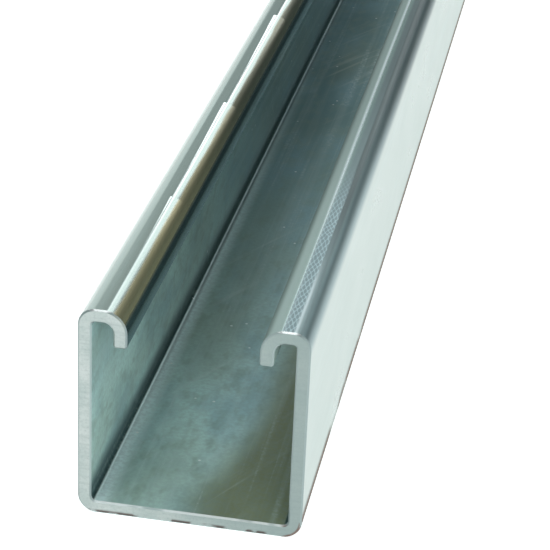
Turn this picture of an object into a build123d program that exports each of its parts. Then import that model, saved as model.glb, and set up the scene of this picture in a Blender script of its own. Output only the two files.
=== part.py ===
from build123d import *
import os

# A length of strut channel, rolled from one strip of galvanised steel.
# It lies on its web with the slot up. X runs across it, Y along it and Z up.
# The origin is on the floor, at the middle of the length. All sizes are in millimetres.

# Overall sizes of the channel
length = 1000.0
width = 41.3
height = 41.3

# The strip, and the bends that the rolls give it
strip_thickness = 2.5
corner_bend_radius = 1.0
curl_bend_radius = 2.0

# The hooked lips: a short flat, then a curl that turns down into the channel
lip_flat = 0.9
lip_depth = 7.1

# Edges: the strip's own long edges, and the burr taken off where it was cut to length
strip_edge_radius = 0.5
cut_edge_bevel = 0.3

# What the sizes above leave for the two lips and the slot between them
corner_outer_radius = corner_bend_radius + strip_thickness
curl_outer_radius = curl_bend_radius + strip_thickness
lip_width = corner_outer_radius + lip_flat + curl_outer_radius
half_slot = width / 2 - lip_width


def strip_face_line(inset):
    """Half of the section, from the middle of the web to the lip's edge, drawn along
    the strip's outer face or, at an inset of its thickness, along its inner face."""
    corner_radius = corner_outer_radius - inset
    curl_radius = curl_outer_radius - inset
    corner_x = width / 2 - corner_outer_radius
    curl_x = half_slot + curl_outer_radius

    corner = CenterArc((corner_x, corner_outer_radius), corner_radius, -90, 90)
    shoulder = CenterArc((corner_x, height - corner_outer_radius), corner_radius, 0, 90)
    curl = CenterArc((curl_x, height - curl_outer_radius), curl_radius, 90, 90)

    web = Line((0, inset), corner @ 0)
    wall = Line(corner @ 1, shoulder @ 0)
    flat = Line(shoulder @ 1, curl @ 0)
    leg = Line(curl @ 1, (half_slot + inset, height - lip_depth))
    return web + corner + wall + shoulder + flat + curl + leg


def channel_section():
    """The bent strip as one closed face: half of it, mirrored at the middle of the web."""
    outer_line = strip_face_line(0)
    inner_line = strip_face_line(strip_thickness)
    middle_line = Line(outer_line @ 0, inner_line @ 0)
    strip_edge = Line(outer_line @ 1, inner_line @ 1)
    half = make_face(outer_line + strip_edge + inner_line + middle_line)

    lip_end = (half_slot + strip_thickness / 2, height - lip_depth)
    lip_corners = half.vertices().sort_by_distance(lip_end)[:2]
    half = fillet(lip_corners, strip_edge_radius)
    return half + mirror(half, Plane.YZ)


# Rolled to shape, then cut to length and freed of burrs at both cut faces
channel = extrude(Plane.XZ * channel_section(), length / 2, both=True)
cut_faces = channel.faces().filter_by(Axis.Y)
channel = chamfer(cut_faces.edges(), cut_edge_bevel)

channel.label = "channel"
os.makedirs("parts", exist_ok=True)
export_step(channel, "parts/channel.step")
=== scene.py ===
# %% [markdown]
# # A length of strut channel
#
# The real object is one strip of zinc-coated steel. Rolls fold it into a square channel, and curl
# its two long edges back inside as hooked lips. It is then cut to length, which leaves a bare,
# paler face at each end. This lesson folds the same strip in Blender, finishes its surfaces,
# and sets it on a pale floor under studio light.

import math

import bmesh
import bpy
from mathutils import Matrix, Vector


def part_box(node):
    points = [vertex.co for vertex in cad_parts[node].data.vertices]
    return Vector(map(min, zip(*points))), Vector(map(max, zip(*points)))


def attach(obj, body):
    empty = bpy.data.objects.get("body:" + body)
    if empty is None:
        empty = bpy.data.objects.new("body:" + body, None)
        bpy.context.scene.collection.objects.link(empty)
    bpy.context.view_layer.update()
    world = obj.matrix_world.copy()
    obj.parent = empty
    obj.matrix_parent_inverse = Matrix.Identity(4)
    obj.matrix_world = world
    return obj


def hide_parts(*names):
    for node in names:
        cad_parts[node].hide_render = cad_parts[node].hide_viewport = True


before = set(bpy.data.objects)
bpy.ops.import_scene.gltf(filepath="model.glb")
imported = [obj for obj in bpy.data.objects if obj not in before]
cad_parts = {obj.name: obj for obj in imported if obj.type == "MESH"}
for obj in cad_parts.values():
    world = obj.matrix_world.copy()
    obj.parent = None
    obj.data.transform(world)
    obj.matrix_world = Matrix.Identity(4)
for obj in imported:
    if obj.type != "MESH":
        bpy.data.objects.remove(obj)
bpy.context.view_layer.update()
low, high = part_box("channel")
half_width = high.x
height = high.z
length = high.y - low.y
front = low.y
print(f"channel {2000 * half_width:.1f} x {1000 * height:.1f} mm, {1000 * length:.0f} mm long")

# %% [markdown]
# ## The strip before it has a thickness
#
# Rolled stock has the same thickness all along. It could be drawn as a closed outline and
# extruded, but it is easier to fold a surface that lies in the middle of the steel and to
# thicken it at the end, because then every wall comes out alike. A plane is the floor of half
# the channel. Its edge is extruded up the wall, in across the top, and down a short slope, where
# a crease ends the lip's flat top. Two narrow strips beside the crease keep it crisp when the
# surface is thickened. A spin makes the rest of the curl, and one more extrude drops its leg.

# %% Sizes of the strip and its bends, in metres
MM = 0.001
thickness = 2.5 * MM
corner_bend = 1.0 * MM
top_corner_bend = 0.7 * MM
lip_width = 8.9 * MM
lip_depth = 7.1 * MM
crease_x = 15.55 * MM
crease_slope = math.radians(17)
crease_strip = 0.25 * MM
slope_length = 0.5 * MM

half_thickness = thickness / 2
wall_x = half_width - half_thickness
hook_x = half_width - lip_width + half_thickness
top_z = height - half_thickness
hook_end_z = height - lip_depth
crease_middle_x = crease_x + half_thickness * math.tan(crease_slope / 2)
print(f"lips {lip_width / MM:.1f} mm wide, slot {2 * (half_width - lip_width) / MM:.1f} mm")


# %% Helpers for working by hand in edit mode
same_place = 0.01 * MM
mostly = 0.9


def work_on(piece):
    """Select one piece alone, make it active and open it in edit mode with nothing picked."""
    if bpy.context.mode != "OBJECT":
        bpy.ops.object.mode_set(mode="OBJECT")
    bpy.ops.object.select_all(action="DESELECT")
    piece.select_set(True)
    bpy.context.view_layer.objects.active = piece
    bpy.ops.object.mode_set(mode="EDIT")
    bpy.ops.mesh.select_mode(type="EDGE")
    bpy.ops.mesh.select_all(action="DESELECT")


def pick_edges(piece, wanted):
    """Pick every edge that passes the test, which is given the edge and its middle."""
    mesh = bmesh.from_edit_mesh(piece.data)
    bpy.ops.mesh.select_all(action="DESELECT")
    for edge in mesh.edges:
        start, end = (vertex.co for vertex in edge.verts)
        edge.select_set(wanted(edge, (start + end) / 2))
    bmesh.update_edit_mesh(piece.data)
    return sum(edge.select for edge in mesh.edges)


def near(value, target):
    """True where two distances are the same, apart from rounding."""
    return abs(value - target) < same_place


def runs_along(edge):
    """True for an edge that follows the channel's length."""
    start, end = (vertex.co for vertex in edge.verts)
    return abs(end.y - start.y) > mostly * (end - start).length


def finish_modifier(piece, kind, **settings):
    """Add a modifier with these settings and apply it."""
    if bpy.context.mode != "OBJECT":
        bpy.ops.object.mode_set(mode="OBJECT")
    modifier = piece.modifiers.new(kind.lower(), kind)
    for name, value in settings.items():
        setattr(modifier, name, value)
    bpy.ops.object.modifier_apply(modifier=modifier.name)


# %% Lay down half of the web and fold the edge up, in and down
bpy.ops.object.select_all(action="DESELECT")
bpy.ops.mesh.primitive_plane_add(size=1)
channel = bpy.context.active_object
channel.name = "rolled_channel"
bpy.ops.transform.resize(value=(wall_x, length, 1))
bpy.ops.transform.translate(value=(wall_x / 2, 0, half_thickness))
bpy.ops.object.transform_apply(location=True, rotation=True, scale=True)

work_on(channel)
print("edge to fold on:", pick_edges(channel, lambda edge, middle: near(middle.x, wall_x)))


def fold_on(across, up):
    """Extrude the picked edge, and leave the new edge picked."""
    bpy.ops.mesh.extrude_region_move(TRANSFORM_OT_translate={"value": (across, 0, up)})


fold_on(0, top_z - half_thickness)
fold_on(crease_middle_x + crease_strip - wall_x, 0)
fold_on(-crease_strip, 0)
slope = Vector((-math.cos(crease_slope), 0, -math.sin(crease_slope)))
fold_on(*(slope.xz * crease_strip))
fold_on(*(slope.xz * (slope_length - crease_strip)))

# %% Spin the curl and drop the leg
curl_steps = 8
curl_start = Vector((crease_middle_x, 0, top_z)) + slope * slope_length
curl_middle_radius = (curl_start.x - hook_x) / (1 - math.sin(crease_slope))
curl_middle = curl_start + curl_middle_radius * Vector((-slope.z, 0, slope.x))
curl_turn = math.radians(90) - crease_slope
bpy.ops.mesh.spin(steps=curl_steps, angle=curl_turn, center=curl_middle, axis=(0, 1, 0))
fold_on(0, hook_end_z - curl_middle.z)
print(f"curl of {(curl_middle_radius + half_thickness) / MM:.1f} mm outside")
print(f"folded strip: {len(bmesh.from_edit_mesh(channel.data).faces)} flat faces")

# %% [markdown]
# ## The bends
#
# The rolls leave a bend at each corner, which is a little tighter at the top than at the web. A
# bevel with a round profile turns the square fold into such an arc, and its width on a square
# corner is the radius of the bend, measured in the middle of the steel. The crease on the lip is
# left sharp, because in the photograph it is a sharp line of light.

# %% Round the two corners
bend_steps = 8


def round_corner(x, z, inner_radius):
    """Round the square fold at this place, to this radius on the inside of the steel."""
    pick_edges(
        channel,
        lambda edge, middle: runs_along(edge) and near(middle.x, x) and near(middle.z, z),
    )
    middle_radius = inner_radius + half_thickness
    bpy.ops.mesh.bevel(offset=middle_radius, segments=bend_steps, profile=0.5, affect="EDGES")


round_corner(wall_x, half_thickness, corner_bend)
round_corner(wall_x, top_z, top_corner_bend)
print(f"with bends: {len(bmesh.from_edit_mesh(channel.data).faces)} faces in the half section")

# %% [markdown]
# ## Divide, mirror and thicken
#
# The folds leave faces a metre long and less than a millimetre wide. Such slivers shade badly and
# can't be dented or bent later, so the flats are divided across, and then everything is divided
# along the length. Mirror makes the other half, and Solidify gives the steel its thickness, half
# to each side, with an even offset so that it stays true round the bends.

# %% Divide the flats and the length
across_step = 3 * MM
along_step = 4 * MM


def divide(step, wanted):
    """Cut the picked edges into pieces of about this length, edges of one length at a time."""
    mesh = bmesh.from_edit_mesh(channel.data)
    lengths = {round(edge.calc_length(), 5) for edge in mesh.edges if wanted(edge)}
    for size in sorted(lengths):
        cuts = round(size / step) - 1
        if cuts > 0:
            pick_edges(
                channel,
                lambda edge, middle: wanted(edge) and round(edge.calc_length(), 5) == size,
            )
            bpy.ops.mesh.subdivide(number_cuts=cuts)


divide(across_step, lambda edge: not runs_along(edge))
divide(along_step, lambda edge: runs_along(edge) and edge.calc_length() > 2 * along_step)
print(f"divided half: {len(bmesh.from_edit_mesh(channel.data).faces)} faces")

# %% Mirror and thicken
finish_modifier(channel, "MIRROR", use_axis=(True, False, False), merge_threshold=0.001 * MM)
finish_modifier(
    channel, "SOLIDIFY", thickness=thickness, offset=0, use_even_offset=True, use_rim=True
)
work_on(channel)
bpy.ops.mesh.select_all(action="SELECT")
bpy.ops.mesh.normals_make_consistent(inside=False)
print(f"thickened: {len(channel.data.polygons)} faces")

# %% [markdown]
# ## The edges
#
# The strip was slit from a wide coil, which leaves its own edges slightly round. The ends were
# sawn, and the burr was taken off with a light bevel. That bevel is one flat facet here, and on
# top of the lips it shines as a short white line, which is also a painted highlight. Smooth
# shading stops at its sharp edges, and weighted normals keep the flat walls flat right up to
# their bends.

# %% Round the strip's edges and bevel the cut ends
strip_edge_radius = 0.5 * MM
cut_bevel = 0.3 * MM
smooth_below = math.radians(35)


def is_cut_face(face):
    """True for a face that looks along the channel's length."""
    return abs(face.normal.y) > mostly


def outlines_cut_face(edge):
    """True where a cut face meets the strip's own surface."""
    return sum(is_cut_face(face) for face in edge.link_faces) == 1 and not runs_along(edge)


def on_strip_edge(edge, middle):
    """True for the long edges at the end of each leg, on both faces of the strip."""
    at_leg_end = runs_along(edge) and near(middle.z, hook_end_z)
    return at_leg_end and near(abs(abs(middle.x) - hook_x), half_thickness)


print("strip edge pieces:", pick_edges(channel, on_strip_edge))
bpy.ops.mesh.bevel(offset=strip_edge_radius, segments=3, profile=0.5, affect="EDGES")
print("cut edge pieces:", pick_edges(channel, lambda edge, middle: outlines_cut_face(edge)))
bpy.ops.mesh.bevel(offset=cut_bevel, segments=1, affect="EDGES")
bpy.ops.object.mode_set(mode="OBJECT")
bpy.ops.object.shade_smooth_by_angle(angle=smooth_below)
finish_modifier(channel, "WEIGHTED_NORMAL", keep_sharp=True)
print(f"finished channel: {len(channel.data.polygons)} faces")

# %% [markdown]
# ## Writing shader sums
#
# A material's pattern is a sum of noises. This small class wraps a socket, so that a sum of
# sockets is written like any other sum, and it adds every other kind of node with one method.


# %% A socket that can be added and multiplied
class Wire:
    """One output socket of a node tree."""

    def __init__(self, tree, socket=None):
        self.tree = tree
        self.socket = socket

    def node(self, kind, settings=None, inputs=None, output=0):
        """Add a node: its settings first, then a value or a link for each of its sockets."""
        made = self.tree.nodes.new(kind)
        for name, value in (settings or {}).items():
            setattr(made, name, value)
        for name, value in (inputs or {}).items():
            if isinstance(value, Wire):
                self.tree.links.new(value.socket, made.inputs[name])
            else:
                made.inputs[name].default_value = value
        return Wire(self.tree, made.outputs[output])

    def maths(self, operation, first, second):
        """A Math node that works on two numbers or wires."""
        return self.node("ShaderNodeMath", {"operation": operation}, {0: first, 1: second})

    def __add__(self, other):
        return self.maths("ADD", self, other)

    def __sub__(self, other):
        return self.maths("SUBTRACT", self, other)

    def __rsub__(self, other):
        return self.maths("SUBTRACT", other, self)

    def __mul__(self, other):
        return self.maths("MULTIPLY", self, other)

    def __lt__(self, other):
        return self.maths("LESS_THAN", self, other)

    def __gt__(self, other):
        return self.maths("GREATER_THAN", self, other)

    __radd__ = __add__
    __rmul__ = __mul__

    def between(self, start, end):
        """0 at the start value, 1 at the end value, and smooth between them."""
        return self.node(
            "ShaderNodeMapRange",
            {"interpolation_type": "SMOOTHSTEP"},
            {"Value": self, "From Min": start, "From Max": end},
        )

    def line(self, place, half_width):
        """1 at this place, and 0 beyond half a width from it."""
        return (self - place).size().between(half_width, 0)

    def mix(self, first, second):
        """One colour where this is 0, the other where it is 1."""
        return self.node("ShaderNodeMix", {"data_type": "RGBA"}, {0: self, 6: first, 7: second}, 2)

    def blend(self, first, second):
        """One number where this is 0, the other where it is 1."""
        return self.node("ShaderNodeMix", {"data_type": "FLOAT"}, {0: self, 2: first, 3: second})

    def axes(self):
        """This vector's three numbers, as three wires."""
        split = self.node("ShaderNodeSeparateXYZ", inputs={0: self})
        outputs = split.socket.node.outputs
        return Wire(self.tree, outputs[0]), Wire(self.tree, outputs[1]), Wire(self.tree, outputs[2])

    def size(self):
        """This value without its sign."""
        return self.maths("ABSOLUTE", self, 0.0)

    def wave(self):
        """A sine wave of this angle, in radians."""
        return self.maths("SINE", self, 0.0)

    def positive(self):
        """This value where it is above 0, and 0 elsewhere."""
        return self.maths("MAXIMUM", self, 0.0)

    def cells(self, scale):
        """Distance to the nearest of many scattered points, in cells."""
        return self.node("ShaderNodeTexVoronoi", inputs={"Vector": self, "Scale": scale})

    def noise(self, scale, detail=2.0, roughness=0.5, stretch=(1, 1, 1)):
        """Noise on this vector, finer along an axis where the stretch is larger."""
        place = self.node("ShaderNodeVectorMath", {"operation": "MULTIPLY"}, {0: self, 1: stretch})
        sizes = {"Vector": place, "Scale": scale, "Detail": detail, "Roughness": roughness}
        return self.node("ShaderNodeTexNoise", inputs=sizes)


def new_material(name):
    """A material with one Principled shader, and a wire that holds its Object coordinates."""
    material = bpy.data.materials.new(name)
    material.use_nodes = True
    tree = material.node_tree
    shader = tree.nodes["Principled BSDF"]
    place = Wire(tree).node("ShaderNodeTexCoord", output="Object")
    return material, shader, place


def plug(wire, shader, name):
    """Link a wire to one of the shader's inputs."""
    wire.tree.links.new(wire.socket, shader.inputs[name])


def report(step, material):
    """Print how many nodes the material has after this step."""
    print(f"{step}: {len(material.node_tree.nodes)} nodes")


# %% [markdown]
# ## The zinc coat
#
# The coat is a dull, slightly teal metal, and most of what the photograph shows on it is wear,
# stain, and painted light and shade. A painted texture could hold that, but nodes stay sharp at any
# distance and reach the sides that the photograph hides. So the coat is built from masks. Height
# and distance from the middle tell the lips from the inside, and the distance from the nearer cut
# lets marks, painted light and painted shade fade.

# %% Where the coat is burnished, and where it lies inside
plain_zinc = (0.44, 0.54, 0.51, 1)
zinc, zinc_shader, place = new_material("zinc_coat")
across, along, up = place.axes()
from_cut = length / 2 - along.size()
distant = from_cut.between(15 * MM, 130 * MM)
# The legs hang within 14.5 mm of the middle, and nothing else is there above 34 mm.
legs = across.size().between(14.7 * MM, 14.4 * MM) * up.between(33.8 * MM, 34.1 * MM)
on_lips = legs.blend(up.between(36.5 * MM, 39.5 * MM), 1.0)
# The inner faces lie within 18.15 mm of the middle and below 38.8 mm. So does the underside of
# the web, which takes the same stains and lies on the floor.
inside = across.size().between(19.2 * MM, 18.4 * MM) * up.between(38.7 * MM, 38.0 * MM)
inside = inside * (1 - legs)
report("masks of the lips and the inside", zinc)

# %% [markdown]
# Noise of several sizes breaks the masks up: stains of a centimetre or two, mottling of a few
# millimetres, and flecks and grain below one. Rolling draws fine lines along the strip, so one
# noise is stretched until it is nearly straight along Y. Handling leaves slanting scratches,
# which come and go, broken streaks, and a few small bright specks. A noise's scale is the number
# of its cells in a metre, so a scale of 95 gives stains of about a centimetre.

# %% Patterns: stains, mottling, rolling lines, scratches and specks
stains = place.noise(95, detail=3, roughness=0.55, stretch=(1, 0.45, 1))
drifts = place.noise(34, detail=2, stretch=(1, 0.4, 1))
mottle = place.noise(330, detail=2, roughness=0.6, stretch=(1, 0.5, 1))
lines = place.noise(520, detail=3, roughness=0.6, stretch=(1, 0.012, 1))
flecks = place.noise(1100, detail=3, roughness=0.65)
grain = place.noise(2600, detail=2, roughness=0.7)
speck_radius = 0.05
specks = place.cells(170) < speck_radius
scratch_angle = math.radians(28)
slant = place.node(
    "ShaderNodeVectorRotate",
    {"rotation_type": "Z_AXIS"},
    {"Vector": place, "Angle": scratch_angle},
)
scratches = slant.noise(520, detail=2, stretch=(1, 0.04, 1)).between(0.58, 0.76)
scratches = scratches * drifts.between(0.45, 0.58)
streaks = lines.between(0.50, 0.66) * flecks.between(0.45, 0.65) * stains.between(0.40, 0.60)
report("with patterns", zinc)

# %% [markdown]
# ## Inside the channel
#
# Near the cut the inside is painted pale, as painted light that comes in at the open end, and
# deeper in it is painted dark, as painted shade. The left wall is painted darker under its lip,
# as painted shade. The right of the web is painted olive, as a painted reflection of the dark
# right wall, and the inner face of that wall is painted dark, as painted shade. At the foot of
# each wall runs a painted shade line, with a painted highlight beside it on the web at the left.

# %% Colour inside: painted light near the cut, painted shade and reflection on the right
leftward = 0 - across
on_wall = leftward.between(17.3 * MM, 17.9 * MM)
# Painted light and shade: the inside is pale near the open end, where light comes in, and dark
# deeper in.
painted_wall_end_light = from_cut.between(200 * MM, 40 * MM)
painted_end_light = on_wall.blend(from_cut.between(230 * MM, -40 * MM), painted_wall_end_light)
inside_tint = painted_end_light.mix((0.13, 0.28, 0.30, 1), (0.68, 1.0, 0.96, 1))
# Painted shade: the left wall is darker under its lip.
painted_shade_under_lip = on_wall * up.between(17 * MM, 29 * MM)
inside_tint = (painted_shade_under_lip * 0.5).mix(inside_tint, (0.26, 0.42, 0.45, 1))
inside_tint = (stains.between(0.42, 0.70) * 0.6).mix(inside_tint, (0.24, 0.45, 0.52, 1))
inside_tint = (mottle.between(0.46, 0.70) * 0.4).mix(inside_tint, (0.24, 0.37, 0.32, 1))
# Painted reflection: the right half of the web is painted olive and dark, as it mirrors the dark
# right wall.
spread = 10 * MM * (drifts - 0.5) + 3 * MM * from_cut.between(40 * MM, 5 * MM)
right_reflection_mask = (across + spread).between(1 * MM, 10 * MM)
right_reflection_mask = right_reflection_mask * from_cut.between(300 * MM, 90 * MM)
painted_olive_reflection = right_reflection_mask.blend(0.4 * drifts.between(0.45, 0.7), 0.92)
inside_tint = painted_olive_reflection.mix(inside_tint, (0.165, 0.20, 0.082, 1))
# Painted shade: the inner face of the right wall is painted dark.
painted_shade_right_wall = across.between(16.8 * MM, 18.2 * MM)
inside_tint = painted_shade_right_wall.mix(inside_tint, (0.11, 0.15, 0.105, 1))
report("stained inside", zinc)

# %% The inner corners: painted shade on the wall foot beside a painted highlight on the web
# Painted shade: the foot of each inner wall is darkened, in the corner.
painted_corner_shade = across.size().between(17.3 * MM, 17.8 * MM) * up.between(8.5 * MM, 4.4 * MM)
inside_tint = (painted_corner_shade * painted_end_light.blend(0.4, 1.0)).mix(inside_tint, (0.06, 0.12, 0.13, 1))
# Painted highlight: a pale line on the web beside the left wall, near the cut.
painted_web_highlight = leftward.between(13.8 * MM, 16.6 * MM) * leftward.between(17.9 * MM, 17.3 * MM)
painted_web_highlight = painted_web_highlight * up.between(3.4 * MM, 3.0 * MM) * from_cut.between(260 * MM, 60 * MM)
inside_tint = painted_web_highlight.mix(inside_tint, (0.76, 1.0, 1.0, 1))
# Painted shade: the inner bends are darkened deeper inside.
painted_bend_shade = across.size().line(17.25 * MM, 0.8 * MM) * up.between(3.6 * MM, 3.2 * MM)
inside_tint = (painted_bend_shade * distant * 0.85).mix(inside_tint, (0.04, 0.09, 0.10, 1))
report("with inner corners", zinc)

# %% Marks inside: flecks, slanting scratches and broken streaks along the length
inside_tint = (flecks.between(0.36, 0.62) * 0.22).mix(inside_tint, (0.18, 0.28, 0.29, 1))
inside_tint = (scratches * 0.3).mix(inside_tint, (0.60, 0.74, 0.72, 1))
inside_tint = (streaks * 0.3).mix(inside_tint, (0.72, 0.90, 0.90, 1))
report("with marks inside", zinc)

# %% [markdown]
# ## The lips
#
# The rolls rub hardest here. On the right lip they leave a dull curl, painted pale near the cut
# and darker further on as painted light and shade, a painted highlight along its crease, a band
# of small crossed dents near the cut, painted as bright glints, and a shoulder painted slate, as a
# painted dark reflection. Two sine waves that cross at a slant make the dents, and noise bends
# their rows. The left lip is burnished, so it mirrors the window as a white streak, with a painted
# brown reflection where it curls down.
# The streak has kinks, because the crease that bounds it creeps outwards and then steps back.
# Scattered points along Y give such a saw: the way from the nearest point, with its sign. Extra
# height for the bump then moves the crease, by starting its slope sooner or later.

# %% Colour on the right lip: painted light and shade on the curl, a painted slate reflection, and masks for two painted highlights
# Painted highlights: a bright line along the crease, which drifts inwards further from the cut, and
# one on the shoulder near the cut.
drifting = across + 0.75 * MM * from_cut.between(-40 * MM, 160 * MM)
painted_crease_highlight = drifting.line(15.75 * MM, 0.65 * MM) * from_cut.between(25 * MM, 80 * MM).blend(0.3, 1.0)
painted_outer_highlight = across.line(17.75 * MM, 0.5 * MM) * from_cut.between(34 * MM, 14 * MM)
# Painted reflection: the right lip's top beyond the flat is painted slate, darker further from the
# cut as painted shade.
painted_slate_band = across.between(15.6 * MM, 16.6 * MM)
far_along = from_cut.between(60 * MM, 150 * MM)
painted_slate_shade = far_along.mix((0.29, 0.395, 0.41, 1), (0.15, 0.21, 0.22, 1))
# Painted shade: a dark band on the shoulder, away from the cut.
painted_shoulder_shade = across.between(17.3 * MM, 17.8 * MM) * across.between(19.2 * MM, 18.5 * MM)
painted_shoulder_shade = painted_shoulder_shade * from_cut.between(8 * MM, 60 * MM)
painted_slate_shade = (painted_shoulder_shade * 0.9).mix(painted_slate_shade, (0.08, 0.115, 0.12, 1))
# Painted highlight: a pale line on the shoulder near the cut.
painted_shoulder_highlight = across.line(19.2 * MM, 0.6 * MM) * from_cut.between(70 * MM, 30 * MM)
painted_slate_shade = painted_shoulder_highlight.mix(painted_slate_shade, (0.46, 0.62, 0.64, 1))
# Painted light and shade: the curl is pale near the cut, darker further on and darker at its lower
# edge.
curl_tint_and_shade = distant.mix((0.44, 0.60, 0.57, 1), (0.29, 0.42, 0.40, 1))
curl_tint_and_shade = across.between(12.2 * MM, 13.8 * MM).mix((0.24, 0.33, 0.315, 1), curl_tint_and_shade)
right_curl = across.between(10 * MM, 11 * MM)
lip_tint = right_curl.mix(plain_zinc, curl_tint_and_shade)
lip_tint = painted_slate_band.mix(lip_tint, painted_slate_shade)
report("with the right lip", zinc)

# %% The woven band: two waves across each other
# Rates are in radians per metre. A wave without its sign repeats every half turn, so these make
# rows that lie under a millimetre apart across the lip and about 3 mm apart along it.
waver_size = 1.4 * MM
leaning_across, leaning_along = 3900, 1250
crossing_across, crossing_along = 3500, -1000
waver = waver_size * (stains - 0.5) + waver_size * mottle
leaning = ((across + waver) * leaning_across + along * leaning_along).wave()
crossing = ((across - waver) * crossing_across + along * crossing_along).wave()
dents = (leaning.size() * crossing.size() + 0.6 * (flecks - 0.48)).between(0.05, 0.50)
woven = across.between(15.3 * MM, 15.6 * MM) * across.between(17.9 * MM, 17.6 * MM)
woven = woven * (from_cut + 0.04 * (drifts - 0.5)).between(85 * MM, 45 * MM)
# The dents are real roll marks, painted as bright glints among darker zinc.
painted_dent_glints = dents.mix((0.60, 0.77, 0.81, 1), (0.34, 0.47, 0.51, 1))
lip_tint = woven.mix(lip_tint, painted_dent_glints)
# Painted highlights along the crease and the shoulder.
lip_tint = (painted_crease_highlight + 0.8 * painted_outer_highlight).mix(lip_tint, (0.78, 0.92, 0.95, 1))
report("with the woven band", zinc)

# %% Colour on the left lip: a painted brown reflection where the curl turns down
wander = place.noise(22, detail=3, roughness=0.6, stretch=(0, 1, 0)) - 0.5
streak_edge = leftward - 0.1 * MM * distant + 1.6 * MM * wander
# Painted reflection: a brown tint where the left curl turns down, darker further from the cut.
painted_brown_reflection = streak_edge.between(14.5 * MM, 13.9 * MM) * leftward.between(11.9 * MM, 12.4 * MM)
painted_brown_reflection_tint = distant.mix((0.70, 0.62, 0.36, 1), (0.22, 0.22, 0.15, 1))
lip_tint = painted_brown_reflection.mix(lip_tint, painted_brown_reflection_tint)
# Painted shade: the side of the left lip's leg that faces the slot.
painted_lip_side_shade = leftward.between(12.3 * MM, 11.95 * MM) * leftward.between(9 * MM, 10 * MM)
lip_tint = painted_lip_side_shade.mix(lip_tint, (0.15, 0.27, 0.31, 1))
report("with the left lip", zinc)

# %% Kinks in the left lip's crease, and the painted highlight along it
kinks_per_metre = 15
creep_rate = 0.013
nearest = along.node(
    "ShaderNodeTexVoronoi",
    {"voronoi_dimensions": "1D"},
    {"W": along, "Scale": kinks_per_metre},
    "W",
)
reach = from_cut.between(15 * MM, 75 * MM)
creep = (creep_rate * (along - nearest) - 0.6 * MM * wander + 0.15 * MM) * reach
# How far each place lies inside the crease: where the mesh has it, and where it is moved to.
fall = (crease_x - leftward).positive()
moved_fall = (crease_x + creep - leftward).positive()
kinks = math.tan(crease_slope) * (fall - moved_fall)
kinks = kinks * leftward.between(13 * MM, 15 * MM) * up.between(39.0 * MM, 39.5 * MM)
# Painted highlight: a bright line along the left lip's crease, which follows its kinks.
painted_left_crease_highlight = (leftward - creep).between(15.8 * MM, 15.5 * MM)
painted_left_crease_highlight = painted_left_crease_highlight * leftward.between(14.9 * MM, 15.3 * MM) * reach.blend(0.15, 1.0)
lip_tint = painted_left_crease_highlight.mix(lip_tint, (0.92, 1.0, 1.0, 1))
report("with its kinks", zinc)

# %% [markdown]
# ## The rest of the coat
#
# Outside, the walls are even and pale, with a brown painted shadow along the foot. The bevels at
# the cut are bare: painted with a highlight on top of the lips and a broken one along the web,
# and rusty at the lower right. The inside is hardly metallic where it is painted pale near the
# cut. The rust and the painted foot shadow are rough and hardly metallic, while the burnished lips
# are smooth. The fine lines and the grain, a hundredth of a millimetre high, and the kinks in the
# crease are also the height of a bump, in metres.

# %% Put the colours together
# Painted shadow: a brown line along the outside foot, where the channel meets the floor.
painted_foot_shadow = (1 - inside) * up.line(3.8 * MM, 2.1 * MM) * stains.between(0.25, 0.40)
outside_tint = on_lips.mix(plain_zinc, lip_tint)
outside_tint = (painted_foot_shadow * 0.9).mix(outside_tint, (0.17, 0.09, 0.07, 1))
coat = inside.mix(outside_tint, inside_tint)
coat = (lines.between(0.45, 0.75) * 0.2).mix(coat, (0.50, 0.66, 0.65, 1))
coat = (specks * inside * 0.8).mix(coat, (0.85, 0.95, 0.93, 1))
rim = from_cut.between(cut_bevel + 0.06 * MM, cut_bevel)
# Painted highlight: the cut bevel is painted bright on top of the lips, and broken bright along the
# web.
painted_rim_highlight = up.between(40.9 * MM, 41.1 * MM)
painted_web_rim_highlight = across.size().between(18.1 * MM, 17.5 * MM) * up.between(2.0 * MM, 2.2 * MM)
painted_web_rim_highlight = painted_web_rim_highlight * inside
painted_rim_highlight = painted_rim_highlight + 0.5 * painted_web_rim_highlight * stains.between(0.42, 0.52)
rim_tint = painted_rim_highlight.mix((0.30, 0.37, 0.37, 1), (0.86, 0.90, 0.90, 1))
rust = across.between(16.5 * MM, 17.8 * MM) * up.between(3.0 * MM, 2.2 * MM)
rim_tint = rust.mix(rim_tint, (0.12, 0.06, 0.05, 1))
coat = (rim * 0.9).mix(coat, rim_tint)
plug(coat, zinc_shader, "Base Color")
report("whole coat coloured", zinc)

# %% Gloss: dull outside and in, burnished on the lips, rough at the rust and the painted foot shadow
dullness = inside.blend(0.24, 0.30) + 0.10 * stains
right_top = across.between(15.4 * MM, 15.8 * MM)
burnished = right_top.blend(0.15 + 0.05 * lines, 0.38 + 0.06 * lines)
burnished = (painted_brown_reflection * 0.7).blend(burnished, 0.34)
dull_curl = on_lips * right_curl * across.between(15.4 * MM, 15.0 * MM)
burnished = dull_curl.blend(burnished, 0.48)
gloss = rim.blend(on_lips.blend(dullness, burnished), painted_rim_highlight.blend(0.5, 0.25))
rust_and_foot_shadow = (painted_foot_shadow + rim * rust) * 0.9
metal = painted_corner_shade.blend(painted_end_light.blend(0.60, 0.06), 0.85)
metal = dull_curl.blend(inside.blend(0.85, metal), 0.2)
plug(metal * (1 - rust_and_foot_shadow), zinc_shader, "Metallic")
plug(rust_and_foot_shadow.blend(gloss, 0.95), zinc_shader, "Roughness")
report("with gloss", zinc)

# %% Fine relief
relief_height = 0.01 * MM
relief = relief_height * (lines + 0.35 * grain) + kinks
bump = relief.node("ShaderNodeBump", inputs={"Height": relief, "Strength": 1.0, "Distance": 1.0})
plug(bump, zinc_shader, "Normal")
print("zinc coat feeds:", [socket.name for socket in zinc_shader.inputs if socket.is_linked])

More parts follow.
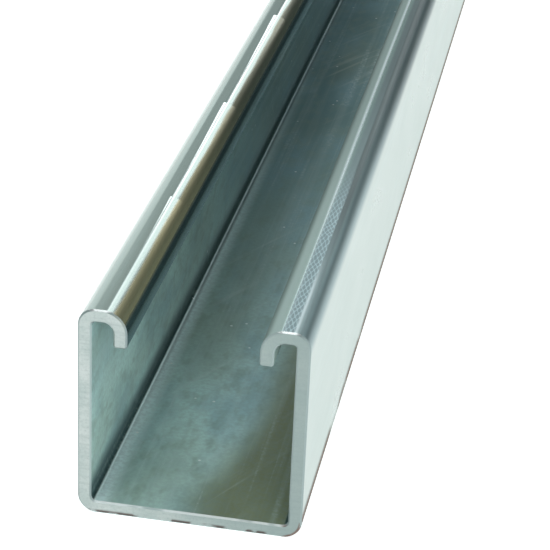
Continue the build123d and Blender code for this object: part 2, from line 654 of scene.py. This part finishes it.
# %% [markdown]
# ## The cut face
#
# Where the channel was sawn through, the steel is bare and paler, with the faint marks of the
# saw across it and small pits. It is darker towards the right, and it has dark nicks along its
# bottom edge and a rusty line round the lower right corner. The coat ends here, so the faces
# that look along the length take a material of their own.

# %% Colour of the cut face, with its saw marks, pits and nicks
cut, cut_shader, place = new_material("cut_steel")
saw_marks = place.noise(1300, detail=3, roughness=0.6, stretch=(0.1, 1, 1))
clouds = place.noise(160, detail=2)
colour = clouds.between(0.3, 0.7).mix((0.39, 0.455, 0.44, 1), (0.475, 0.525, 0.51, 1))
across, _, up = place.axes()
# Darker towards the right.
darker_to_right = 0.8 * across.between(-20 * MM, 20 * MM)
colour = darker_to_right.mix(colour, (0.22, 0.285, 0.275, 1))
colour = (saw_marks.between(0.4, 0.75) * 0.3).mix(colour, (0.24, 0.30, 0.30, 1))
pits = place.noise(1900, detail=3, roughness=0.7).between(0.45, 0.70)
colour = (pits * 0.35).mix(colour, (0.22, 0.28, 0.28, 1))
nicks = place.noise(210, detail=2).between(0.48, 0.56) * up.between(1.0 * MM, 0.5 * MM)
colour = (nicks * 0.9).mix(colour, (0.06, 0.035, 0.03, 1))
report("cut steel", cut)

# %% Rust round the lower right corner, and the finish of the cut face
flat = place.node("ShaderNodeVectorMath", {"operation": "MULTIPLY"}, {0: place, 1: (1, 0, 1)})
bend_middle = (half_width - corner_bend - thickness, 0, corner_bend + thickness)
from_bend = flat.node(
    "ShaderNodeVectorMath", {"operation": "DISTANCE"}, {0: flat, 1: bend_middle}, "Value"
)
rust_line = from_bend.between(2.8 * MM, 3.2 * MM) * across.between(17.0 * MM, 18.0 * MM)
rust_line = rust_line * up.between(3.8 * MM, 3.0 * MM)
colour = (rust_line * 0.85).mix(colour, (0.13, 0.06, 0.04, 1))
plug(colour, cut_shader, "Base Color")
plug(rust_line.blend(0.42 + 0.2 * saw_marks, 0.95), cut_shader, "Roughness")
plug(rust_line.blend(0.8, 0.1), cut_shader, "Metallic")
saw_relief = {"Height": saw_marks, "Strength": 0.25, "Distance": 0.1 * MM}
bump = saw_marks.node("ShaderNodeBump", inputs=saw_relief)
plug(bump, cut_shader, "Normal")
print("cut steel feeds:", [socket.name for socket in cut_shader.inputs if socket.is_linked])

# %% Dress the channel
channel.data.materials.append(zinc)
channel.data.materials.append(cut)
for face in channel.data.polygons:
    face.material_index = int(is_cut_face(face))
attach(channel, "root")
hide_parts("channel")
print("faces of bare cut steel:", sum(face.material_index for face in channel.data.polygons))

# %% [markdown]
# ## Floor, light and camera
#
# The channel lies on a plain white floor, which also glows a little, as a light table does, so
# that it stays white behind the steel. Each soft light has its own task. The overhead light and
# the two boxes, behind and in front, show the tops of the lips and the web. The low light in
# front shines on the cut face, the card on the left shines on the right lip's curl, and the tall
# window behind, with a fainter pane beside it, is what the left lip mirrors as its white streak.

# %% Floor
floor_width = 30
bpy.ops.object.select_all(action="DESELECT")
bpy.ops.mesh.primitive_plane_add(size=floor_width)
floor = bpy.context.active_object
floor.name = "floor"
paper, paper_shader, _ = new_material("pale_floor")
paper_shader.inputs["Base Color"].default_value = (0.9, 0.9, 0.9, 1)
paper_shader.inputs["Roughness"].default_value = 0.8
paper_shader.inputs["Emission Color"].default_value = (1, 1, 1, 1)
paper_shader.inputs["Emission Strength"].default_value = 0.7
floor.data.materials.append(paper)
print(f"floor {floor.dimensions.x:.0f} m wide, top at z = {floor.location.z:.0f}")


# %% Lights
def soft_light(name, azimuth, elevation, distance, size, radiance, colour=(1, 1, 1)):
    """An area light that faces the cut end. Azimuth 0 is straight ahead, along +Y, in degrees.
    Its energy is worked out from its radiance, so its size can change without its brightness."""
    turn, lift = math.radians(azimuth), math.radians(elevation)
    way = Vector((math.sin(turn) * math.cos(lift), math.cos(turn) * math.cos(lift), math.sin(lift)))
    lamp = bpy.data.lights.new(name, "AREA")
    lamp.shape = "RECTANGLE"
    lamp.size, lamp.size_y = size
    lamp.energy = radiance * math.pi * size[0] * size[1]
    lamp.color = colour
    holder = bpy.data.objects.new(name, lamp)
    bpy.context.scene.collection.objects.link(holder)
    holder.location = Vector((0, front, 0)) + way * distance
    holder.rotation_mode = "QUATERNION"
    holder.rotation_quaternion = way.to_track_quat("Z", "Y")
    holder.visible_camera = False


# Each line: name, azimuth, elevation, distance, width and height, radiance.
soft_light("overhead", 195, 72, 2.6, (1.5, 1.5), 1.5, (0.97, 1.0, 1.0))
soft_light("back_high", 0, 54, 2.6, (3.2, 0.8), 1.0)
soft_light("front_box", 180, 33, 2.6, (3.2, 0.8), 0.8)
soft_light("front_low", 160, 10, 2.2, (2.4, 0.8), 5.0)
soft_light("left_card", -33, 13, 2.6, (1.6, 1.2), 0.54)
soft_light("window", 5, 24, 4.0, (0.84, 1.7), 1.65)
soft_light("window_edge", 14, 20, 3.8, (0.6, 1.2), 0.4)
print(len(bpy.data.lights), "soft lights")

# %% [markdown]
# Metal only looks like metal when it has something dark to mirror as well. So the room is pale
# near the horizon and dark overhead, with one dark corner behind and to the right. The camera
# itself sees plain white, so that only the reflections show the room.

# %% Room
world = bpy.data.worlds.new("studio")
bpy.context.scene.world = world
world.use_nodes = True
sky = Wire(world.node_tree)
way = sky.node("ShaderNodeTexCoord", output="Generated")
corner_turn = math.radians(28)
darkest_within, dark_within = math.radians(28), math.radians(46)
pale_below, dark_above = math.radians(32), math.radians(50)
corner = (math.sin(corner_turn), math.cos(corner_turn), 0)
facing = way.node(
    "ShaderNodeVectorMath", {"operation": "DOT_PRODUCT"}, {0: way, 1: corner}, "Value"
)
near_corner = facing.between(math.cos(dark_within), math.cos(darkest_within))
rise = way.axes()[2]
room = rise.between(math.sin(pale_below), math.sin(dark_above))
room = room.mix((0.46, 0.50, 0.49, 1), (0.07, 0.08, 0.08, 1))
room = near_corner.mix(room, (0.04, 0.07, 0.075, 1))
path = sky.node("ShaderNodeLightPath", output="Is Camera Ray")
shade = path.mix(room, (1, 1, 1, 1))
world.node_tree.links.new(shade.socket, world.node_tree.nodes["Background"].inputs["Color"])
print("room:", len(world.node_tree.nodes), "nodes")

# %% [markdown]
# The camera stands in front of the cut end, a little to the right of it and above it. Its place
# and its lens were fitted to the corners of the cut face and to the long edges in the photograph.
# It is so close that the channel tapers strongly, although the lens is long, and it is rolled a
# little, because the photograph isn't quite level.

# %% Camera
azimuth, elevation, roll = math.radians(9.01), math.radians(25.49), math.radians(2.61)
aim = Vector((13.78 * MM, front, 51.9 * MM))
distance = 343.8 * MM
focal_pixels = 2034.5
image_pixels = 550
sensor_mm = 36

level_part = math.cos(elevation)
back = Vector(
    (math.sin(azimuth) * level_part, -math.cos(azimuth) * level_part, math.sin(elevation))
)
camera_data = bpy.data.cameras.new("camera")
camera = bpy.data.objects.new("camera", camera_data)
bpy.context.scene.collection.objects.link(camera)
camera_data.sensor_width = sensor_mm
camera_data.lens = focal_pixels / image_pixels * sensor_mm
camera_data.clip_start = 0.02
camera_data.clip_end = 100
unrolled = back.to_track_quat("Z", "Y").to_matrix()
rolled = unrolled @ Matrix.Rotation(roll, 3, "Z")
camera.matrix_world = Matrix.Translation(aim + back * distance) @ rolled.to_4x4()
bpy.context.scene.camera = camera
bpy.context.scene.view_settings.view_transform = "Standard"
print(f"lens {camera_data.lens:.1f} mm, {1000 * distance:.0f} mm from the cut face")
